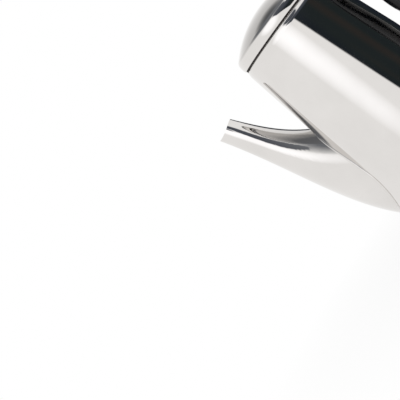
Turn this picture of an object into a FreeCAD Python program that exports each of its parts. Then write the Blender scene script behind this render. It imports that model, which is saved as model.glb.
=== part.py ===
import FreeCAD
import Part
import math
import os
from FreeCAD import Vector

# All sizes are in mm. The pot stands on z = 0, its axis is the z axis,
# the spout points to +X and the handle to -X.

# Body: a tapered wall with a hemmed rim and a turned-in foot
BODY_H = 150.0
RIM_R = 36.0
TAPER = math.radians(4.75)
WALL = 0.8
HEM_H = 5.0
SHOULDER_R = 9.0
SHOULDER_TURN = math.radians(20.0)
FOOT_ROUND = 5.0
FOOT_OPEN_R = 34.0
BASE_T = 1.2
BASE_EDGE = 0.5

# Spout: an inner and an outer edge, each a cubic curve through four poles (x, z)
SPOUT_INNER = [(24.0, 85.5), (51.0, 102.3), (58.8, 121.3), (68.2, 143.0)]
SPOUT_OUTER = [(24.0, -1.0), (64.0, 23.0), (64.0, 80.0), (83.5, 140.0)]
SPOUT_ROOT_W = 64.0
SPOUT_MOUTH_W = 14.0
SPOUT_FLARE = 1.2
MOUTH_SCOOP_R = 25.0
STRAINER_W = 38.4
STRAINER_D = 6.0
STRAINER_PITCH = 9.5

# Lid: a domed cap over a plain skirt that drops into the mouth
LID_RISE = 18.2
LID_GAP = 1.2
LID_T = 0.8
DOME_R = 64.0
LID_CORNER = 4.0
BAND_R = 14.0
BAND_TURN = math.radians(13.0)
SEAT_CLEAR = 0.25
SKIRT_CLEAR = 1.0
SKIRT_DEPTH = 6.0
SKIRT_T = 0.8
FLANGE_T = 1.75

# Hinge at the back of the rim
HINGE_OUT = 6.5
HINGE_UP = 3.0
KNUCKLE_R = 2.6
PIN_R = 1.2
PIN_CLEAR = 0.06
HINGE_W = 18.0
LID_KNUCKLE_W = 7.8
KNUCKLE_GAP = 0.4
PIN_PROUD = 0.8
LEAF_T = 1.2
LEAF_LOW = 1.6
LEAF_H = 4.3
RIVET_R = 1.0
RIVET_HEAD_R = 1.5
RIVET_HEAD_T = 0.6
RIVET_SPAN = 12.0
SADDLE_T = 1.2
CHEEK_DROP = 3.0

# Thumb piece on the lid
THUMB_W = 15.0
THUMB_T = 1.4
THUMB_STRAIGHT = 9.0
THUMB_BEND_R = 18.0
THUMB_BEND = math.radians(50.0)
THUMB_CORNER = 5.0

# Handle: distances below the rim for the two joints, and the grip between them,
# with a guard on its inner side that keeps the fingers below it
UPPER_DROP = 11.0
LOWER_DROP = 110.0
STUB_REACH = 7.5
STUB_H = 13.0
STUB_W = 18.0
PAD_MARGIN = 2.0
WASHER_T = 1.2
GRIP_W = 22.0
GRIP_DEPTH = 15.0
GRIP_BULGE = 17.0
GRIP_LOWER_SHARE = 2.0
GUARD_DEPTH = 9.5
GUARD_SHARE = 0.50
GRIP_SQUARENESS = 3.0
SCREW_R = 1.9
SCREW_CLEAR = 0.3
SCREW_HEAD_R = 3.5
SCREW_HEAD_T = 2.6
SCREW_SLOT = 0.9
SCREW_GRIP = 7.0
SCREW_BITE = 6.0

RIM_Z = BODY_H
HINGE_X = -(RIM_R + HINGE_OUT)
HINGE_Z = RIM_Z + HINGE_UP
SECTION_POINTS = 16
SPOUT_STATIONS = 8
SPOUT_PAST_MOUTH = 2.8


def wall_r(z):
    """Outside radius of the body wall at height z."""
    return RIM_R + math.tan(TAPER) * (BODY_H - z)


def cone_solid(extra, low, high):
    """Solid cone on the outside of the body wall, made larger by extra."""
    return Part.makeCone(wall_r(low) + extra, wall_r(high) + extra, high - low, Vector(0, 0, low))


def arc(centre, radius, start, end):
    """Arc in the XZ plane between two angles in radians."""
    points = []
    for angle in (start, (start + end) / 2, end):
        points.append(Vector(centre.x + radius * math.cos(angle), 0, centre.z + radius * math.sin(angle)))
    return Part.Arc(points[0], points[1], points[2]).toShape()


def line(x1, z1, x2, z2):
    return Part.makeLine(Vector(x1, 0, z1), Vector(x2, 0, z2))


def revolve(edges):
    """Turn a closed outline in the XZ plane round the pot's axis."""
    wire = Part.Wire(Part.__sortEdges__(edges))
    return Part.Face(wire).revolve(Vector(0, 0, 0), Vector(0, 0, 1), 360)


def outline(points):
    """Straight edges of a closed outline from (x, z) points."""
    return [line(*points[i - 1], *points[i]) for i in range(len(points))]


def extrude_y(edges, y_from, y_to):
    """Extrude a closed outline in the XZ plane between two y values."""
    face = Part.Face(Part.Wire(Part.__sortEdges__(edges)))
    face.translate(Vector(0, y_from, 0))
    return face.extrude(Vector(0, y_to - y_from, 0))


def box(x1, x2, y1, y2, z1, z2):
    return Part.makeBox(x2 - x1, y2 - y1, z2 - z1, Vector(x1, y1, z1))


def rod_x(radius, x1, x2, y, z):
    return Part.makeCylinder(radius, x2 - x1, Vector(x1, y, z), Vector(1, 0, 0))


def rod_y(radius, y1, y2, x, z):
    return Part.makeCylinder(radius, y2 - y1, Vector(x, y1, z), Vector(0, 1, 0))


def cubic(poles, t):
    """Point of a cubic curve with four (x, z) poles."""
    weights = ((1 - t) ** 3, 3 * (1 - t) ** 2 * t, 3 * (1 - t) * t ** 2, t ** 3)
    x = sum(w * p[0] for w, p in zip(weights, poles))
    z = sum(w * p[1] for w, p in zip(weights, poles))
    return Vector(x, 0, z)


def section(centre, half_depth, half_width, power):
    """Closed smooth curve about centre: an ellipse at power 2, squarer above it."""
    points = []
    for i in range(SECTION_POINTS):
        angle = 2 * math.pi * i / SECTION_POINTS
        c = math.copysign(abs(math.cos(angle)) ** (2 / power), math.cos(angle))
        s = math.copysign(abs(math.sin(angle)) ** (2 / power), math.sin(angle))
        points.append(centre + half_depth * c + Vector(0, half_width * s, 0))
    curve = Part.BSplineCurve()
    curve.interpolate(points, PeriodicFlag=True)
    return Part.Wire(curve.toShape())


def make_body_shell():
    thick = WALL / math.cos(TAPER)
    foot_z = BASE_T + FOOT_ROUND
    foot = Vector(wall_r(foot_z) - FOOT_ROUND / math.cos(TAPER), 0, foot_z)
    inner_round = FOOT_ROUND - WALL
    lean_c = math.cos(TAPER)
    lean_s = math.sin(TAPER)
    out_x, out_z = foot.x + FOOT_ROUND * lean_c, foot.z + FOOT_ROUND * lean_s
    in_x, in_z = foot.x + inner_round * lean_c, foot.z + inner_round * lean_s
    top_z = RIM_Z - WALL
    hem_z = RIM_Z - HEM_H
    shoulder_turn = TAPER + SHOULDER_TURN
    shoulder_z = top_z - SHOULDER_R * (math.sin(shoulder_turn) - lean_s)
    shoulder = Vector(wall_r(shoulder_z) - SHOULDER_R * lean_c, 0, shoulder_z - SHOULDER_R * lean_s)
    shoulder_x = shoulder.x + SHOULDER_R * math.cos(shoulder_turn)
    inner_x = wall_r(top_z) - 2 * thick
    rim_round = Part.Arc(
        Vector(shoulder_x, 0, top_z),
        Vector((shoulder_x + inner_x) / 2, 0, RIM_Z),
        Vector(inner_x, 0, top_z),
    ).toShape()
    edges = [
        line(wall_r(shoulder_z), shoulder_z, out_x, out_z),
        arc(shoulder, SHOULDER_R, TAPER, shoulder_turn),
        arc(foot, FOOT_ROUND, TAPER, -math.pi / 2),
        line(foot.x, BASE_T, FOOT_OPEN_R, BASE_T),
        line(FOOT_OPEN_R, BASE_T, FOOT_OPEN_R, BASE_T + WALL),
        line(FOOT_OPEN_R, BASE_T + WALL, foot.x, BASE_T + WALL),
        arc(foot, inner_round, -math.pi / 2, TAPER),
        line(in_x, in_z, wall_r(hem_z) - thick, hem_z),
        line(wall_r(hem_z) - thick, hem_z, wall_r(hem_z) - 2 * thick, hem_z),
        line(wall_r(hem_z) - 2 * thick, hem_z, inner_x, top_z),
        rim_round,
    ]
    shell = revolve(edges)
    return shell.cut(Part.makeCompound(strainer_holes()))


def strainer_holes():
    """Rods for the holes behind the spout, on a staggered grid inside an oval."""
    low = SPOUT_OUTER[1][1] + STRAINER_D
    high = SPOUT_INNER[0][1] - STRAINER_D / 2
    middle = (low + high) / 2
    oval_h = (high - low) / 2
    oval_w = STRAINER_W / 2
    rise = STRAINER_PITCH * math.sqrt(3) / 2
    rows = int(oval_h / rise)
    columns = int(oval_w / STRAINER_PITCH) + 1
    rods = []
    for row in range(-rows, rows + 1):
        for column in range(-columns, columns + 1):
            y = (column + 0.5 * (row % 2)) * STRAINER_PITCH
            z = row * rise
            if (y / oval_w) ** 2 + (z / oval_h) ** 2 <= 1:
                rods.append(rod_x(STRAINER_D / 2, 0, wall_r(0) * 2, y, middle + z))
    return rods


def make_base_plate():
    foot_z = BASE_T + FOOT_ROUND
    radius = wall_r(foot_z) - FOOT_ROUND / math.cos(TAPER)
    plate = Part.makeCylinder(radius, BASE_T)
    low_edges = [e for e in plate.Edges if e.BoundBox.ZMax < BASE_T / 2]
    return plate.makeFillet(BASE_EDGE, low_edges)


def edge_inset(poles, t, across, inset):
    """Distance along across that moves an edge curve inwards by inset, square to the curve."""
    step = 0.01
    run = (cubic(poles, t + step) - cubic(poles, t - step)).normalize()
    return inset / run.cross(across).Length


def spout_solid(inset):
    """Solid through oval sections that span the spout's two edges, run a little past the mouth."""
    inner_lip = cubic(SPOUT_INNER, 1)
    lip_rate = 3 * math.hypot(inner_lip.x - SPOUT_INNER[2][0], inner_lip.z - SPOUT_INNER[2][1])
    end = 1 + SPOUT_PAST_MOUTH / lip_rate
    wires = []
    for i in range(SPOUT_STATIONS):
        t = end * i / (SPOUT_STATIONS - 1)
        near = cubic(SPOUT_INNER, t)
        far = cubic(SPOUT_OUTER, t)
        across = (far - near).normalize()
        near = near + across * edge_inset(SPOUT_INNER, t, across, inset)
        far = far - across * edge_inset(SPOUT_OUTER, t, across, inset)
        width = SPOUT_MOUTH_W + (SPOUT_ROOT_W - SPOUT_MOUTH_W) * max(1 - t, 0) ** SPOUT_FLARE
        wires.append(section((near + far) * 0.5, (far - near) * 0.5, width / 2 - inset, 2))
    return Part.makeLoft(wires, True, False)


def make_spout():
    inner_lip = cubic(SPOUT_INNER, 1)
    outer_lip = cubic(SPOUT_OUTER, 1)
    chord = outer_lip - inner_lip
    half = chord.Length / 2
    up = Vector(-chord.z, 0, chord.x).normalize()
    centre = (inner_lip + outer_lip) * 0.5 + up * math.sqrt(MOUTH_SCOOP_R ** 2 - half ** 2)
    scoop = rod_y(MOUTH_SCOOP_R, -SPOUT_ROOT_W, SPOUT_ROOT_W, centre.x, centre.z)
    inside = cone_solid(0, -BODY_H / 4, BODY_H * 1.2)
    return spout_solid(0).cut(spout_solid(WALL)).cut(inside).cut(scoop)


def lid_centres():
    """Centres of the lid's dome, of its rounded corner, and of its slightly bowed band."""
    dome = Vector(0, 0, RIM_Z + LID_RISE - DOME_R)
    band_x = RIM_R - BAND_R
    corner_x = band_x + (BAND_R - LID_CORNER) * math.cos(BAND_TURN)
    corner_z = dome.z + math.sqrt((DOME_R - LID_CORNER) ** 2 - corner_x ** 2)
    band_z = corner_z - (BAND_R - LID_CORNER) * math.sin(BAND_TURN)
    return dome, Vector(corner_x, 0, corner_z), Vector(band_x, 0, band_z)


def make_lid_shell():
    dome, corner, band = lid_centres()
    turn = math.atan2(corner.z - dome.z, corner.x)
    low = RIM_Z + LID_GAP
    edges = []
    low_ends = []
    for inset in (0, LID_T):
        low_turn = math.asin((low - band.z) / (BAND_R - inset))
        low_ends.append(band.x + (BAND_R - inset) * math.cos(low_turn))
        edges.append(arc(band, BAND_R - inset, low_turn, BAND_TURN))
        edges.append(arc(corner, LID_CORNER - inset, BAND_TURN, turn))
        edges.append(arc(dome, DOME_R - inset, turn, math.pi / 2))
    edges.append(line(low_ends[0], low, low_ends[1], low))
    edges.append(line(0, dome.z + DOME_R - LID_T, 0, dome.z + DOME_R))
    return revolve(edges).cut(Part.makeCompound(rivet_rods(RIVET_R)))


def make_lid_skirt():
    mouth = wall_r(RIM_Z - WALL) - 2 * WALL / math.cos(TAPER)
    out_r = mouth - SKIRT_CLEAR
    seat = RIM_Z + SEAT_CLEAR
    flange_r = min(lid_inner_r(RIM_Z + LID_GAP), lid_inner_r(seat + FLANGE_T))
    points = [
        (out_r - SKIRT_T, RIM_Z - SKIRT_DEPTH),
        (out_r, RIM_Z - SKIRT_DEPTH),
        (out_r, seat),
        (flange_r, seat),
        (flange_r, seat + FLANGE_T),
        (out_r - SKIRT_T, seat + FLANGE_T),
    ]
    return revolve(outline(points))


def ring_piece(r1, r2, z1, z2, y1, y2):
    """Piece of an upright ring at the back of the lid between two y values."""
    foot = Vector(0, 0, z1)
    ring = Part.makeCylinder(r2, z2 - z1, foot).cut(Part.makeCylinder(r1, z2 - z1, foot))
    return ring.common(box(-r2 - 1, 0, y1, y2, z1, z2))


def rivet_z():
    return RIM_Z + LEAF_LOW + LEAF_H / 2


def rivet_rods(radius):
    rods = []
    for y in (-RIVET_SPAN / 2, RIVET_SPAN / 2):
        rods.append(rod_x(radius, HINGE_X, -RIM_R / 2, y, rivet_z()))
    return rods


def make_lid_leaf():
    low = RIM_Z + LEAF_LOW
    half = LID_KNUCKLE_W / 2
    plate = ring_piece(RIM_R, RIM_R + LEAF_T, low, low + LEAF_H, -HINGE_W / 2, HINGE_W / 2)
    web = box(HINGE_X, -RIM_R, -half, half, low, low + LEAF_H)
    web = web.cut(Part.makeCylinder(RIM_R + LEAF_T / 2, LEAF_H, Vector(0, 0, low)))
    knuckle = rod_y(KNUCKLE_R, -half, half, HINGE_X, HINGE_Z)
    leaf = plate.fuse(web).fuse(knuckle)
    leaf = leaf.cut(rod_y(PIN_R + PIN_CLEAR, -half, half, HINGE_X, HINGE_Z))
    return leaf.cut(Part.makeCompound(rivet_rods(RIVET_R))).removeSplitter()


def make_thumb_lift():
    low = RIM_Z + LEAF_LOW
    r1 = RIM_R + LEAF_T
    r2 = r1 + THUMB_T
    gap = LID_KNUCKLE_W / 2 + KNUCKLE_GAP
    straight_z = low + LEAF_H
    legs = [
        ring_piece(r1, r2, low, straight_z, gap, THUMB_W / 2),
        ring_piece(r1, r2, low, straight_z, -THUMB_W / 2, -gap),
    ]
    yoke = ring_piece(r1, r2, straight_z, low + THUMB_STRAIGHT, -THUMB_W / 2, THUMB_W / 2)
    bend_z = low + THUMB_STRAIGHT
    centre = Vector(-r2 - THUMB_BEND_R, 0, bend_z)
    outer_r = THUMB_BEND_R + THUMB_T
    tip = Vector(centre.x + (THUMB_BEND_R + THUMB_T / 2) * math.cos(THUMB_BEND), 0,
                 centre.z + (THUMB_BEND_R + THUMB_T / 2) * math.sin(THUMB_BEND))
    edges = [
        arc(centre, THUMB_BEND_R, 0, THUMB_BEND),
        arc(centre, outer_r, 0, THUMB_BEND),
        line(centre.x + THUMB_BEND_R, bend_z, centre.x + outer_r, bend_z),
        arc(tip, THUMB_T / 2, THUMB_BEND, THUMB_BEND + math.pi),
    ]
    tab = extrude_y(edges, -THUMB_W / 2, THUMB_W / 2)
    top_z = tip.z + THUMB_T
    tab_front = box(centre.x, -RIM_R, -THUMB_W / 2, THUMB_W / 2, bend_z, top_z)
    top_edges = [e for e in tab_front.Edges if e.BoundBox.ZMin > top_z - THUMB_T / 2]
    corners = [e for e in top_edges if e.BoundBox.YLength < THUMB_T]
    tab = tab.common(tab_front.makeFillet(THUMB_CORNER, corners))
    lift = tab.fuse(yoke).fuse(legs[0]).fuse(legs[1])
    return lift.cut(Part.makeCompound(rivet_rods(RIVET_R))).removeSplitter()


def lid_inner_r(z):
    """Inside radius of the lid at height z, on its band, its corner or its dome."""
    dome, corner, band = lid_centres()
    if z <= corner.z + (LID_CORNER - LID_T) * math.sin(BAND_TURN):
        centre, radius = band, BAND_R - LID_T
    elif z <= corner.z + (LID_CORNER - LID_T) * (corner.z - dome.z) / (DOME_R - LID_CORNER):
        centre, radius = corner, LID_CORNER - LID_T
    else:
        centre, radius = dome, DOME_R - LID_T
    return centre.x + math.sqrt(radius ** 2 - (z - centre.z) ** 2)


def make_rivet(y):
    """Rivet through the lid band, the leaf and a leg of the thumb piece, with a head at each end."""
    z = rivet_z()
    inside = -math.sqrt(lid_inner_r(z + RIVET_HEAD_R) ** 2 - (abs(y) + RIVET_HEAD_R) ** 2)
    outside = -math.sqrt((RIM_R + LEAF_T + THUMB_T) ** 2 - (abs(y) - RIVET_HEAD_R) ** 2)
    shank = rod_x(RIVET_R, outside - RIVET_HEAD_T / 2, inside, y, z)
    out_head = rod_x(RIVET_HEAD_R, outside - RIVET_HEAD_T, outside, y, z)
    in_head = rod_x(RIVET_HEAD_R, inside, inside + RIVET_HEAD_T, y, z)
    return shank.fuse(out_head).fuse(in_head).removeSplitter()


def make_hinge_pin():
    half = HINGE_W / 2 + PIN_PROUD
    pin = rod_y(PIN_R, -half, half, HINGE_X, HINGE_Z)
    return pin.makeFillet(PIN_PROUD / 2, [e for e in pin.Edges if len(e.Vertexes) == 1])


def stub_face(drop):
    """Distance from the axis to the outer face of a handle stub."""
    return wall_r(RIM_Z - drop) + STUB_REACH


def end_section(x, z):
    """Outline shared by a stub, its washer and the end of the grip, square to the X axis."""
    return section(Vector(-x, 0, z), Vector(0, 0, STUB_H / 2), STUB_W / 2, GRIP_SQUARENESS)


def screw_hole(drop):
    face = -stub_face(drop)
    return rod_x(SCREW_R, face, face + SCREW_BITE, 0, RIM_Z - drop)


def make_bracket(drop):
    z = RIM_Z - drop
    low = z - STUB_H / 2 - PAD_MARGIN
    high = z + STUB_H / 2 + PAD_MARGIN
    pad = cone_solid(SADDLE_T, low, high).cut(cone_solid(0, low, high))
    shadow = section(Vector(0, 0, z), Vector(0, 0, STUB_H / 2 + PAD_MARGIN),
                     STUB_W / 2 + PAD_MARGIN, GRIP_SQUARENESS)
    pad = pad.common(Part.Face(shadow).extrude(Vector(-wall_r(0) * 2, 0, 0)))
    stub = Part.Face(end_section(RIM_R / 2, z)).extrude(Vector(RIM_R / 2 - stub_face(drop), 0, 0))
    stub = stub.cut(cone_solid(0, low - STUB_H, high + STUB_H))
    bracket = pad.fuse(stub)
    return bracket.cut(screw_hole(drop)).removeSplitter()


def make_upper_bracket():
    """Upper bracket of the handle, with two cheeks that end in the outer knuckles of the hinge."""
    z = RIM_Z - UPPER_DROP
    top = RIM_Z - CHEEK_DROP
    cheek = outline([
        (-wall_r(z), z),
        (-wall_r(top) - SADDLE_T / 2, top),
        (HINGE_X + KNUCKLE_R, HINGE_Z),
        (HINGE_X - KNUCKLE_R, HINGE_Z),
        (-stub_face(UPPER_DROP), z + STUB_H / 2 + SADDLE_T),
        (-stub_face(UPPER_DROP), z),
    ])
    bracket = make_bracket(UPPER_DROP)
    inner = LID_KNUCKLE_W / 2 + KNUCKLE_GAP
    for y1, y2 in ((inner, HINGE_W / 2), (-HINGE_W / 2, -inner)):
        bracket = bracket.fuse(extrude_y(cheek, y1, y2))
        bracket = bracket.fuse(rod_y(KNUCKLE_R, y1, y2, HINGE_X, HINGE_Z))
    bracket = bracket.cut(rod_y(PIN_R, -HINGE_W, HINGE_W, HINGE_X, HINGE_Z))
    bracket = bracket.cut(screw_hole(UPPER_DROP))
    return bracket.cut(cone_solid(0, z - STUB_H, RIM_Z)).removeSplitter()


def make_washer(drop):
    z = RIM_Z - drop
    x = stub_face(drop)
    plate = Part.Face(end_section(x, z)).extrude(Vector(-WASHER_T, 0, 0))
    return plate.cut(rod_x(SCREW_R + SCREW_CLEAR, -x - WASHER_T, -x, 0, z))


def make_handle_grip():
    """Grip swept from washer to washer, with a guard that swells from its inner side and fades out."""
    upper_x = -stub_face(UPPER_DROP) - WASHER_T
    lower_x = -stub_face(LOWER_DROP) - WASHER_T
    upper_z = RIM_Z - UPPER_DROP
    lower_z = RIM_Z - LOWER_DROP
    curve = Part.BezierCurve()
    curve.setPoles([
        Vector(upper_x, 0, upper_z),
        Vector(upper_x - GRIP_BULGE, 0, upper_z),
        Vector(lower_x - GRIP_BULGE * GRIP_LOWER_SHARE, 0, lower_z),
        Vector(lower_x, 0, lower_z),
    ])
    sweep = Part.BRepOffsetAPI.MakePipeShell(Part.Wire(curve.toShape()))
    sweep.setBiNormalMode(Vector(0, 1, 0))
    # Share of the way down, depth, width, and how far the guard stands in
    stations = (
        (0, STUB_H, STUB_W, 0),
        (GUARD_SHARE / 2, GRIP_DEPTH, GRIP_W, 0),
        (GUARD_SHARE, GRIP_DEPTH, GRIP_W, GUARD_DEPTH),
        (GUARD_SHARE * 3 / 2, GRIP_DEPTH, GRIP_W, 0),
        (GUARD_SHARE * 3 / 4 + 0.5, GRIP_DEPTH, GRIP_W, 0),
        (1, STUB_H, STUB_W, 0),
    )
    for t, depth, width, guard in stations:
        inward = curve.tangent(t)[0].cross(Vector(0, 1, 0)).normalize()
        centre = curve.value(t) + inward * (guard / 2)
        sweep.add(section(centre, inward * ((depth + guard) / 2), width / 2, GRIP_SQUARENESS))
    sweep.build()
    sweep.makeSolid()
    grip = sweep.shape()
    for x, z in ((upper_x, upper_z), (lower_x, lower_z)):
        grip = grip.cut(rod_x(SCREW_R + SCREW_CLEAR, x - SCREW_GRIP, x, 0, z))
        grip = grip.cut(rod_x(SCREW_HEAD_R + SCREW_CLEAR, x - GRIP_BULGE - GRIP_W, x - SCREW_GRIP, 0, z))
    return grip


def make_screw(drop):
    z = RIM_Z - drop
    stub = -stub_face(drop)
    seat = stub - WASHER_T - SCREW_GRIP
    shank = rod_x(SCREW_R, seat, stub + SCREW_BITE, 0, z)
    head = rod_x(SCREW_HEAD_R, seat - SCREW_HEAD_T, seat, 0, z)
    top = seat - SCREW_HEAD_T
    half_slot = SCREW_SLOT / 2
    slot = box(top, top + SCREW_HEAD_T / 2, -SCREW_HEAD_R, SCREW_HEAD_R, z - half_slot, z + half_slot)
    return shank.fuse(head).cut(slot).removeSplitter()


nodes = {
    "body_shell": make_body_shell(),
    "base_plate": make_base_plate(),
    "spout": make_spout(),
    "lid_shell": make_lid_shell(),
    "lid_skirt": make_lid_skirt(),
    "lid_leaf": make_lid_leaf(),
    "thumb_lift": make_thumb_lift(),
    "lid_rivet_left": make_rivet(RIVET_SPAN / 2),
    "lid_rivet_right": make_rivet(-RIVET_SPAN / 2),
    "hinge_pin": make_hinge_pin(),
    "upper_bracket": make_upper_bracket(),
    "lower_bracket": make_bracket(LOWER_DROP),
    "upper_washer": make_washer(UPPER_DROP),
    "lower_washer": make_washer(LOWER_DROP),
    "handle_grip": make_handle_grip(),
    "upper_screw": make_screw(UPPER_DROP),
    "lower_screw": make_screw(LOWER_DROP),
}

os.makedirs("parts", exist_ok=True)
for name, shape in nodes.items():
    shape.exportStep("parts/" + name + ".step")
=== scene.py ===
import math

import bmesh
import bpy
from mathutils import Matrix, Vector


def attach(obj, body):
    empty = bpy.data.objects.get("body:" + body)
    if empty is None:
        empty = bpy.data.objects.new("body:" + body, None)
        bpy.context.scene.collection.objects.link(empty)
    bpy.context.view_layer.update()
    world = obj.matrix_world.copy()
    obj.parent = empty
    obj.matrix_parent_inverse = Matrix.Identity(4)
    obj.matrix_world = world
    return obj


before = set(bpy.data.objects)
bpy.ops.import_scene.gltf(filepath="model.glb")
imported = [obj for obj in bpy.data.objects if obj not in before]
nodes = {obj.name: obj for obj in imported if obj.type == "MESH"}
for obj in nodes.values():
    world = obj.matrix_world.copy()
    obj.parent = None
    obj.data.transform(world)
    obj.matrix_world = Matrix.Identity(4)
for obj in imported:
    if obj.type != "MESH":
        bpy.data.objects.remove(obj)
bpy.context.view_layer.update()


# Body, spout and lid: stainless steel sheet, pressed, welded and buffed to a mirror on a wheel.
# That leaves fine lines round each piece, drawn coarser so that they show, and handling leaves
# soft dull marks. The wheel doesn't reach the inside of the body, which stays satin.
def linear(code):
    """Linear colour of an sRGB hex value."""
    channels = [int(code[i:i + 2], 16) / 255 for i in (0, 2, 4)]
    return [c / 12.92 if c <= 0.04045 else ((c + 0.055) / 1.055) ** 2.4 for c in channels] + [1]


def add(tree, kind, inputs, stops=(), **settings):
    """Add a node: inputs are links or values of its sockets, stops are the (position, colour)
    points of a colour ramp, and settings are the node's own values."""
    node = tree.nodes.new(kind)
    for name, value in settings.items():
        setattr(node, name, value)
    for name, value in inputs.items():
        if isinstance(value, bpy.types.NodeSocket):
            tree.links.new(value, node.inputs[name])
        else:
            node.inputs[name].default_value = value
    for i, (position, colour) in enumerate(stops):
        points = node.color_ramp.elements
        point = points[i] if i < 2 else points.new(position)
        point.position = position
        point.color = colour
    return node


def new_material(name):
    """Empty material, its node tree, and the place on the pot that its patterns follow."""
    material = bpy.data.materials.new(name)
    material.use_nodes = True
    tree = material.node_tree
    tree.nodes.clear()
    return material, tree, add(tree, "ShaderNodeTexCoord", {}).outputs["Object"]


def dress(material, *names):
    """Put a material on CAD nodes."""
    for name in names:
        for slot in nodes[name].material_slots:
            slot.material = material


buff_line_mm = 1.4
buff_runs_per_m = 12
hand_mark_mm = 26
rim_radius = 0.036
rim_height = 0.15
foot_height = 0.006
wall_slope = math.tan(math.radians(4.75))
inner_face_depth = 0.00065
inside_roughness = 0.34
mirror_steel, tree, place = new_material("stainless_steel_mirror_buffed")
around = add(tree, "ShaderNodeMapping", {
    "Vector": place,
    "Scale": (buff_runs_per_m, buff_runs_per_m, 1000 / buff_line_mm),
})
lines = add(tree, "ShaderNodeTexNoise", {"Vector": around.outputs[0], "Scale": 1, "Detail": 3})
marks = add(tree, "ShaderNodeTexNoise", {"Vector": place, "Scale": 1000 / hand_mark_mm, "Detail": 4})
colour = add(tree, "ShaderNodeValToRGB", {"Fac": marks.outputs["Fac"]},
             stops=((0.3, linear("DCD9D6")), (0.7, linear("E2DFDC"))))
rough = add(tree, "ShaderNodeMapRange", {
    "Value": marks.outputs["Fac"],
    "From Min": 0.42,
    "From Max": 0.75,
    "To Min": 0.022,
    "To Max": 0.055,
})
height = add(tree, "ShaderNodeSeparateXYZ", {"Vector": place}).outputs["Z"]
flat = add(tree, "ShaderNodeVectorMath", {0: place, 1: (1, 1, 0)}, operation="MULTIPLY")
from_axis = add(tree, "ShaderNodeVectorMath", {0: flat.outputs["Vector"]}, operation="LENGTH")
wall = add(tree, "ShaderNodeMath", {
    0: height,
    1: -wall_slope,
    2: rim_radius + wall_slope * rim_height,
}, operation="MULTIPLY_ADD")
depth = add(tree, "ShaderNodeMath", {0: wall.outputs[0], 1: from_axis.outputs["Value"]},
            operation="SUBTRACT")
within = add(tree, "ShaderNodeMath", {0: depth.outputs[0], 1: inner_face_depth}, operation="GREATER_THAN")
between = add(tree, "ShaderNodeMath", {
    0: height,
    1: (rim_height + foot_height) / 2,
    2: (rim_height - foot_height) / 2,
}, operation="COMPARE")
inside = add(tree, "ShaderNodeMath", {0: within.outputs[0], 1: between.outputs[0]}, operation="MULTIPLY")
finish = add(tree, "ShaderNodeMix", {
    "Factor": inside.outputs[0],
    "A": rough.outputs["Result"],
    "B": inside_roughness,
})
bump = add(tree, "ShaderNodeBump", {"Height": lines.outputs["Fac"], "Strength": 0.005, "Distance": 0.0002})
steel = add(tree, "ShaderNodeBsdfPrincipled", {
    "Base Color": colour.outputs["Color"],
    "Metallic": 1,
    "Roughness": finish.outputs[0],
    "Normal": bump.outputs["Normal"],
})
add(tree, "ShaderNodeOutputMaterial", {"Surface": steel.outputs["BSDF"]})
dress(mirror_steel, "body_shell", "spout", "lid_shell")


# Spout weld: the spout is welded to the wall all round its root, and the bead is ground to an
# even round and buffed like the rest. It is a thin bevelled curve along the spout's outer edge.
same_point = 1e-6
seam_slack = 0.00004
bead_radius = 0.0008
bead_steps = 3


def on_wall(face):
    """True for a face of the spout that lies flat against the outside of the body wall."""
    for corner in face.verts:
        radius = math.hypot(corner.co.x, corner.co.y)
        if abs(radius - rim_radius - wall_slope * (rim_height - corner.co.z)) > seam_slack:
            return False
    return True


shape = bmesh.new()
shape.from_mesh(nodes["spout"].data)
bmesh.ops.remove_doubles(shape, verts=shape.verts, dist=same_point)
loose = [edge for edge in shape.edges if len({on_wall(face) for face in edge.link_faces}) == 2]
loops = []
while loose:
    edge = loose.pop()
    loop = list(edge.verts)
    while edge:
        edge = next((e for e in loop[-1].link_edges if e in loose), None)
        if edge:
            loose.remove(edge)
            loop.append(edge.other_vert(loop[-1]))
    loops.append([corner.co.copy() for corner in loop[:-1]])
shape.free()
seam = max(loops, key=lambda loop: max(point.y for point in loop))
curve = bpy.data.curves.new("spout_weld", "CURVE")
curve.dimensions = "3D"
curve.bevel_depth = bead_radius
curve.bevel_resolution = bead_steps
spline = curve.splines.new("POLY")
spline.points.add(len(seam) - 1)
for point, corner in zip(spline.points, seam):
    point.co = (*corner, 1)
spline.use_cyclic_u = True
spout_weld = bpy.data.objects.new("spout_weld", curve)
bpy.context.scene.collection.objects.link(spout_weld)
curve.materials.append(mirror_steel)
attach(spout_weld, "pot")


# Base plate and lid skirt: plain stainless steel, turned on a lathe and left satin, so fine
# rings show round the pot's axis. They are drawn coarser than they are, so that they show.
# The edge of the skirt, where it sits in the seam between lid and rim, carries painted shade: it is darkened
# to a dull dark brown.
ring_mm = 2.2
wave_length = math.tau / 20  # of a wave texture at a scale of 1
patch_mm = 16
seam_shade_from = 0.0338
seam_shade_full = 0.0346


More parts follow.
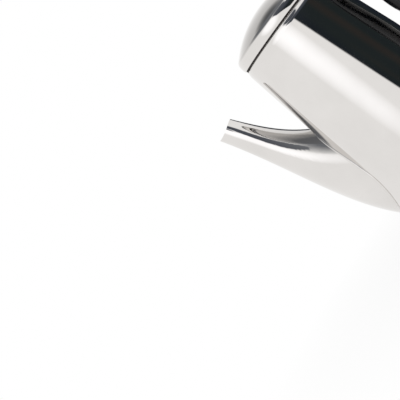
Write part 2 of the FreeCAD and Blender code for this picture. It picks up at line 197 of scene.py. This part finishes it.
def turned_steel(name):
    """Satin steel with turned rings: the material, its tree, place, colour and shader."""
    material, tree, place = new_material(name)
    rings = add(tree, "ShaderNodeTexWave", {
        "Vector": place,
        "Scale": wave_length * 1000 / ring_mm,
        "Distortion": 0.6,
        "Detail": 2,
    }, wave_type="RINGS", rings_direction="Z")
    patches = add(tree, "ShaderNodeTexNoise", {"Vector": place, "Scale": 1000 / patch_mm, "Detail": 4})
    colour = add(tree, "ShaderNodeValToRGB", {"Fac": patches.outputs["Fac"]},
                 stops=((0.3, linear("BDBAB6")), (0.7, linear("CECBC7"))))
    rough = add(tree, "ShaderNodeMapRange", {
        "Value": patches.outputs["Fac"],
        "From Min": 0.3,
        "From Max": 0.7,
        "To Min": 0.24,
        "To Max": 0.36,
    })
    bump = add(tree, "ShaderNodeBump", {"Height": rings.outputs["Fac"], "Strength": 0.15, "Distance": 0.0002})
    steel = add(tree, "ShaderNodeBsdfPrincipled", {
        "Base Color": colour.outputs["Color"],
        "Metallic": 1,
        "Roughness": rough.outputs["Result"],
        "Normal": bump.outputs["Normal"],
    })
    add(tree, "ShaderNodeOutputMaterial", {"Surface": steel.outputs["BSDF"]})
    return material, tree, place, colour.outputs["Color"], steel


base_steel = turned_steel("stainless_steel_satin_turned")[0]
dress(base_steel, "base_plate")

skirt_steel, tree, place, bare, steel = turned_steel("stainless_steel_satin_seam_shaded")
flat = add(tree, "ShaderNodeVectorMath", {0: place, 1: (1, 1, 0)}, operation="MULTIPLY")
from_axis = add(tree, "ShaderNodeVectorMath", {0: flat.outputs["Vector"]}, operation="LENGTH")
# Painted shade: towards the seam the skirt's colour goes to dark brown, and it turns matt and not metallic.
seam_shade = add(tree, "ShaderNodeMapRange", {
    "Value": from_axis.outputs["Value"],
    "From Min": seam_shade_from,
    "From Max": seam_shade_full,
}).outputs["Result"]
# A Mix node takes its two colours at inputs 6 and 7 and gives the result at output 2.
tint = add(tree, "ShaderNodeMix", {"Factor": seam_shade, 6: bare, 7: linear("1E1612")}, data_type="RGBA")
dull = add(tree, "ShaderNodeMapRange", {"Value": seam_shade, "To Min": 0.3, "To Max": 0.7})
unshaded = add(tree, "ShaderNodeMath", {0: 1, 1: seam_shade}, operation="SUBTRACT")
tree.links.new(tint.outputs[2], steel.inputs["Base Color"])
tree.links.new(dull.outputs["Result"], steel.inputs["Roughness"])
tree.links.new(unshaded.outputs[0], steel.inputs["Metallic"])
dress(skirt_steel, "lid_skirt")


# Brackets, hinge, thumb piece, rivets and screws: small stainless steel castings and turned
# parts, tumbled and polished by hand, so they are a little duller than the sheet. The ripple
# that tumbling leaves is drawn coarser than it is, so that it shows.
tumble_mm = 2.2
wear_mm = 9
cast_steel, tree, place = new_material("stainless_steel_tumbled")
ripple = add(tree, "ShaderNodeTexNoise", {"Vector": place, "Scale": 1000 / tumble_mm, "Detail": 3})
wear = add(tree, "ShaderNodeTexNoise", {"Vector": place, "Scale": 1000 / wear_mm, "Detail": 5})
colour = add(tree, "ShaderNodeValToRGB", {"Fac": wear.outputs["Fac"]},
             stops=((0.3, linear("CCC9C5")), (0.7, linear("DBD8D5"))))
rough = add(tree, "ShaderNodeMapRange", {
    "Value": wear.outputs["Fac"],
    "From Min": 0.3,
    "From Max": 0.7,
    "To Min": 0.09,
    "To Max": 0.2,
})
bump = add(tree, "ShaderNodeBump", {"Height": ripple.outputs["Fac"], "Strength": 0.05, "Distance": 0.0003})
steel = add(tree, "ShaderNodeBsdfPrincipled", {
    "Base Color": colour.outputs["Color"],
    "Metallic": 1,
    "Roughness": rough.outputs["Result"],
    "Normal": bump.outputs["Normal"],
})
add(tree, "ShaderNodeOutputMaterial", {"Surface": steel.outputs["BSDF"]})
dress(cast_steel, "hinge_pin", "lid_leaf", "thumb_lift", "lid_rivet_left", "lid_rivet_right",
      "upper_bracket", "lower_bracket", "upper_screw", "lower_screw")


# Handle grip: black phenolic, moulded in one piece in a polished tool. It keeps a soft gloss,
# with duller patches where it is held and a faint grain, drawn coarser so that it shows.
grain_mm = 0.9
held_mm = 22
phenolic, tree, place = new_material("phenolic_black_moulded")
grain = add(tree, "ShaderNodeTexNoise", {"Vector": place, "Scale": 1000 / grain_mm, "Detail": 3})
held = add(tree, "ShaderNodeTexNoise", {"Vector": place, "Scale": 1000 / held_mm, "Detail": 4})
colour = add(tree, "ShaderNodeValToRGB", {"Fac": held.outputs["Fac"]},
             stops=((0.3, linear("0D0E11")), (0.75, linear("15161A"))))
rough = add(tree, "ShaderNodeMapRange", {
    "Value": held.outputs["Fac"],
    "From Min": 0.3,
    "From Max": 0.7,
    "To Min": 0.2,
    "To Max": 0.32,
})
bump = add(tree, "ShaderNodeBump", {"Height": grain.outputs["Fac"], "Strength": 0.03, "Distance": 0.0002})
skin = add(tree, "ShaderNodeBsdfPrincipled", {
    "Base Color": colour.outputs["Color"],
    "Roughness": rough.outputs["Result"],
    "IOR": 1.6,
    "Specular IOR Level": 0.25,
    "Normal": bump.outputs["Normal"],
})
add(tree, "ShaderNodeOutputMaterial", {"Surface": skin.outputs["BSDF"]})
dress(phenolic, "handle_grip")


# Washers: pressed fibre, dark grey and matt with lighter flecks, clamped between the stubs and
# the grip to keep heat out of the handle.
fleck_mm = 0.6
fibre, tree, place = new_material("fibre_pressed_grey")
flecks = add(tree, "ShaderNodeTexNoise", {"Vector": place, "Scale": 1000 / fleck_mm, "Detail": 4})
colour = add(tree, "ShaderNodeValToRGB", {"Fac": flecks.outputs["Fac"]},
             stops=((0.35, linear("3A3835")), (0.65, linear("5B5854"))))
bump = add(tree, "ShaderNodeBump", {"Height": flecks.outputs["Fac"], "Strength": 0.2, "Distance": 0.0002})
skin = add(tree, "ShaderNodeBsdfPrincipled", {
    "Base Color": colour.outputs["Color"],
    "Roughness": 0.8,
    "Normal": bump.outputs["Normal"],
})
add(tree, "ShaderNodeOutputMaterial", {"Surface": skin.outputs["BSDF"]})
dress(fibre, "upper_washer", "lower_washer")


# Studio floor: a wide white sheet under the pot. It takes the pot's shadow, and fades to the
# plain white of the room further out.
floor_half = 3
shadow_near = 0.06
shadow_far = 0.24
shadow_glow = 0.6
white = linear("FFFFFF")
mesh = bpy.data.meshes.new("floor")
corners = [(x * floor_half, y * floor_half, 0) for x, y in ((-1, -1), (1, -1), (1, 1), (-1, 1))]
mesh.from_pydata(corners, [], [(0, 1, 2, 3)])
floor = bpy.data.objects.new("floor", mesh)
bpy.context.scene.collection.objects.link(floor)
paper, tree, place = new_material("paper_white_matt")
away = add(tree, "ShaderNodeVectorMath", {0: place}, operation="LENGTH")
path = add(tree, "ShaderNodeLightPath", {})
seen = path.outputs["Is Camera Ray"]
for ray in ("Is Glossy Ray", "Is Transmission Ray"):
    seen = add(tree, "ShaderNodeMath", {0: seen, 1: path.outputs[ray]}, operation="MAXIMUM").outputs[0]
fade = add(tree, "ShaderNodeMapRange", {
    "Value": away.outputs["Value"],
    "From Min": shadow_near,
    "From Max": shadow_far,
    "To Min": shadow_glow,
})
share = add(tree, "ShaderNodeMath", {0: seen, 1: fade.outputs["Result"]}, operation="MULTIPLY")
matt = add(tree, "ShaderNodeBsdfDiffuse", {"Color": linear("F2F2F2")})
glow = add(tree, "ShaderNodeEmission", {"Color": white, "Strength": 1})
sheet = add(tree, "ShaderNodeMixShader", {"Fac": share.outputs[0], 1: matt.outputs[0], 2: glow.outputs[0]})
add(tree, "ShaderNodeOutputMaterial", {"Surface": sheet.outputs[0]})
mesh.materials.append(paper)


# Camera: a long lens level with the rim, turned about its own axis so that the pot leans as
# it does when it is tipped, and close enough to crop the lid and the base.
def toward(azimuth, elevation):
    """Direction from the pot to a point of the room, by degrees round and up."""
    turn = math.radians(azimuth)
    lift = math.radians(elevation)
    return Vector((math.sin(turn) * math.cos(lift), -math.cos(turn) * math.cos(lift), math.sin(lift)))


view_azimuth = 205
view_elevation = -0.4
view_roll = math.radians(53.2)
lens_px = 1000
image_px = 400
sensor_mm = 36
rim_at = (283.7, 25.6)
rim_reach = 0.598
near_limit = 0.01
back = toward(view_azimuth, view_elevation)
level = Vector((0, 0, 1)).cross(back).normalized()
upright = back.cross(level)
right = level * math.cos(view_roll) - upright * math.sin(view_roll)
up = level * math.sin(view_roll) + upright * math.cos(view_roll)
across = (rim_at[0] - image_px / 2) / lens_px
down = (rim_at[1] - image_px / 2) / lens_px
spot = Vector((0, 0, rim_height)) - (right * across - up * down - back) * rim_reach
camera_data = bpy.data.cameras.new("camera")
camera_data.sensor_width = sensor_mm
camera_data.lens = sensor_mm * lens_px / image_px
camera_data.clip_start = near_limit
camera = bpy.data.objects.new("camera", camera_data)
camera.matrix_world = Matrix.Translation(spot) @ Matrix((right, up, back)).transposed().to_4x4()
bpy.context.scene.collection.objects.link(camera)
bpy.context.scene.camera = camera


# Room: plain soft light from all round. What the steel mirrors is pale walls that dim towards
# the ceiling, one bright window, an unlit corner, a dark patch overhead, and by the handle a
# dark end wall that slopes off at its edge and has a light gap in it.
ceiling_way = toward(15, 68)
window_way = toward(180, 24)
window_light = (1.37, 1.38, 1.41, 1)
edge_low = toward(226, 3)
edge_high = toward(189, 30)
# Each patch has its middle, and its radius and soft edge in degrees: 90 is half the room.
patches = {
    "corner": (toward(217, 43), 16, 2.5),
    "overhead": (toward(190, 88), 33, 9),
    "end": (toward(280, 0), 85, 0.8),
    "slope": (edge_high.cross(edge_low).normalized(), 90, 0.8),
    "gap": (toward(330, 52), 33, 2.5),
}
end_top = 0.46
end_fade = 0.06
gloom_low = 0.18
gloom_high = 0.4
clutter_scale = 2.2
fill_level = 0.55
world = bpy.data.worlds.new("room")
bpy.context.scene.world = world
world.use_nodes = True
tree = world.node_tree
tree.nodes.clear()
way = add(tree, "ShaderNodeTexCoord", {}).outputs["Generated"]
height = add(tree, "ShaderNodeSeparateXYZ", {"Vector": way}).outputs["Z"]

facing = add(tree, "ShaderNodeVectorMath", {0: way, 1: ceiling_way}, operation="DOT_PRODUCT")
walls = add(tree, "ShaderNodeValToRGB", {"Fac": facing.outputs["Value"]}, stops=(
    (0.6, white), (0.8, linear("E4E4E4")), (0.93, linear("D0D0D0")), (0.985, linear("383838"))))
facing = add(tree, "ShaderNodeVectorMath", {0: way, 1: window_way}, operation="DOT_PRODUCT")
window = add(tree, "ShaderNodeValToRGB", {"Fac": facing.outputs["Value"]}, stops=(
    (0.79, linear("000000")), (0.84, white), (0.89, white), (0.975, window_light)))
bright = add(tree, "ShaderNodeVectorMath", {0: walls.outputs["Color"], 1: window.outputs["Color"]},
             operation="MAXIMUM")

clutter = add(tree, "ShaderNodeTexNoise", {"Vector": way, "Scale": clutter_scale, "Detail": 0})
lower = add(tree, "ShaderNodeValToRGB", {"Fac": clutter.outputs["Fac"]}, stops=(
    (0.35, linear("1D222A")), (0.6, linear("242A2B")), (0.75, linear("332E2B"))))
upper = add(tree, "ShaderNodeValToRGB", {"Fac": height}, stops=(
    (0.6, linear("4F535C")), (0.85, linear("74777C"))))
raised = add(tree, "ShaderNodeMapRange", {"Value": height, "From Min": gloom_low, "From Max": gloom_high})
gloom = add(tree, "ShaderNodeMix", {
    "Factor": raised.outputs["Result"],
    6: lower.outputs["Color"],
    7: upper.outputs["Color"],
}, data_type="RGBA")

mask = {}
for name, (middle, radius, soft) in patches.items():
    facing = add(tree, "ShaderNodeVectorMath", {0: way, 1: middle}, operation="DOT_PRODUCT")
    mask[name] = add(tree, "ShaderNodeMapRange", {
        "Value": facing.outputs["Value"],
        "From Min": math.cos(math.radians(radius + soft)),
        "From Max": math.cos(math.radians(radius - soft)),
    }).outputs["Result"]
under_top = add(tree, "ShaderNodeMapRange", {
    "Value": height,
    "From Min": end_top,
    "From Max": end_top + end_fade,
    "To Min": 1,
    "To Max": 0,
}).outputs["Result"]
off_gap = add(tree, "ShaderNodeMath", {0: 1, 1: mask["gap"]}, operation="SUBTRACT").outputs[0]
unlit = mask["end"]
for limit in (mask["slope"], under_top, off_gap):
    unlit = add(tree, "ShaderNodeMath", {0: unlit, 1: limit}, operation="MULTIPLY").outputs[0]
for more in (mask["corner"], mask["overhead"]):
    unlit = add(tree, "ShaderNodeMath", {0: unlit, 1: more}, operation="MAXIMUM").outputs[0]
reflected = add(tree, "ShaderNodeMix", {
    "Factor": unlit,
    6: bright.outputs["Vector"],
    7: gloom.outputs[2],
}, data_type="RGBA")

path = add(tree, "ShaderNodeLightPath", {})
mirrored = add(tree, "ShaderNodeMath", {
    0: path.outputs["Is Glossy Ray"],
    1: path.outputs["Is Transmission Ray"],
}, operation="MAXIMUM")
ambient = add(tree, "ShaderNodeBackground", {"Color": white, "Strength": fill_level})
mirror_room = add(tree, "ShaderNodeBackground", {"Color": reflected.outputs[2], "Strength": 1})
backdrop = add(tree, "ShaderNodeBackground", {"Color": white, "Strength": 1})
room = add(tree, "ShaderNodeMixShader", {
    "Fac": mirrored.outputs[0],
    1: ambient.outputs[0],
    2: mirror_room.outputs[0],
})
room = add(tree, "ShaderNodeMixShader", {
    "Fac": path.outputs["Is Camera Ray"],
    1: room.outputs[0],
    2: backdrop.outputs[0],
})
add(tree, "ShaderNodeOutputWorld", {"Surface": room.outputs[0]})


# Lamp: one large soft box above the spout side, at a plain level. The steel doesn't mirror it.
lamp_side = 1.2
lamp_watts = 22
lamp_spot = Vector((0.8, 0.9, 1.4))
lamp_aim = Vector((0, 0, 0.08))
lamp_data = bpy.data.lights.new("soft_box", "AREA")
lamp_data.size = lamp_side
lamp_data.energy = lamp_watts
lamp = bpy.data.objects.new("soft_box", lamp_data)
lamp.location = lamp_spot
lamp.rotation_euler = (lamp_aim - lamp_spot).to_track_quat("-Z", "Y").to_euler()
lamp.visible_glossy = False
bpy.context.scene.collection.objects.link(lamp)

bpy.context.scene.view_settings.view_transform = "Standard"
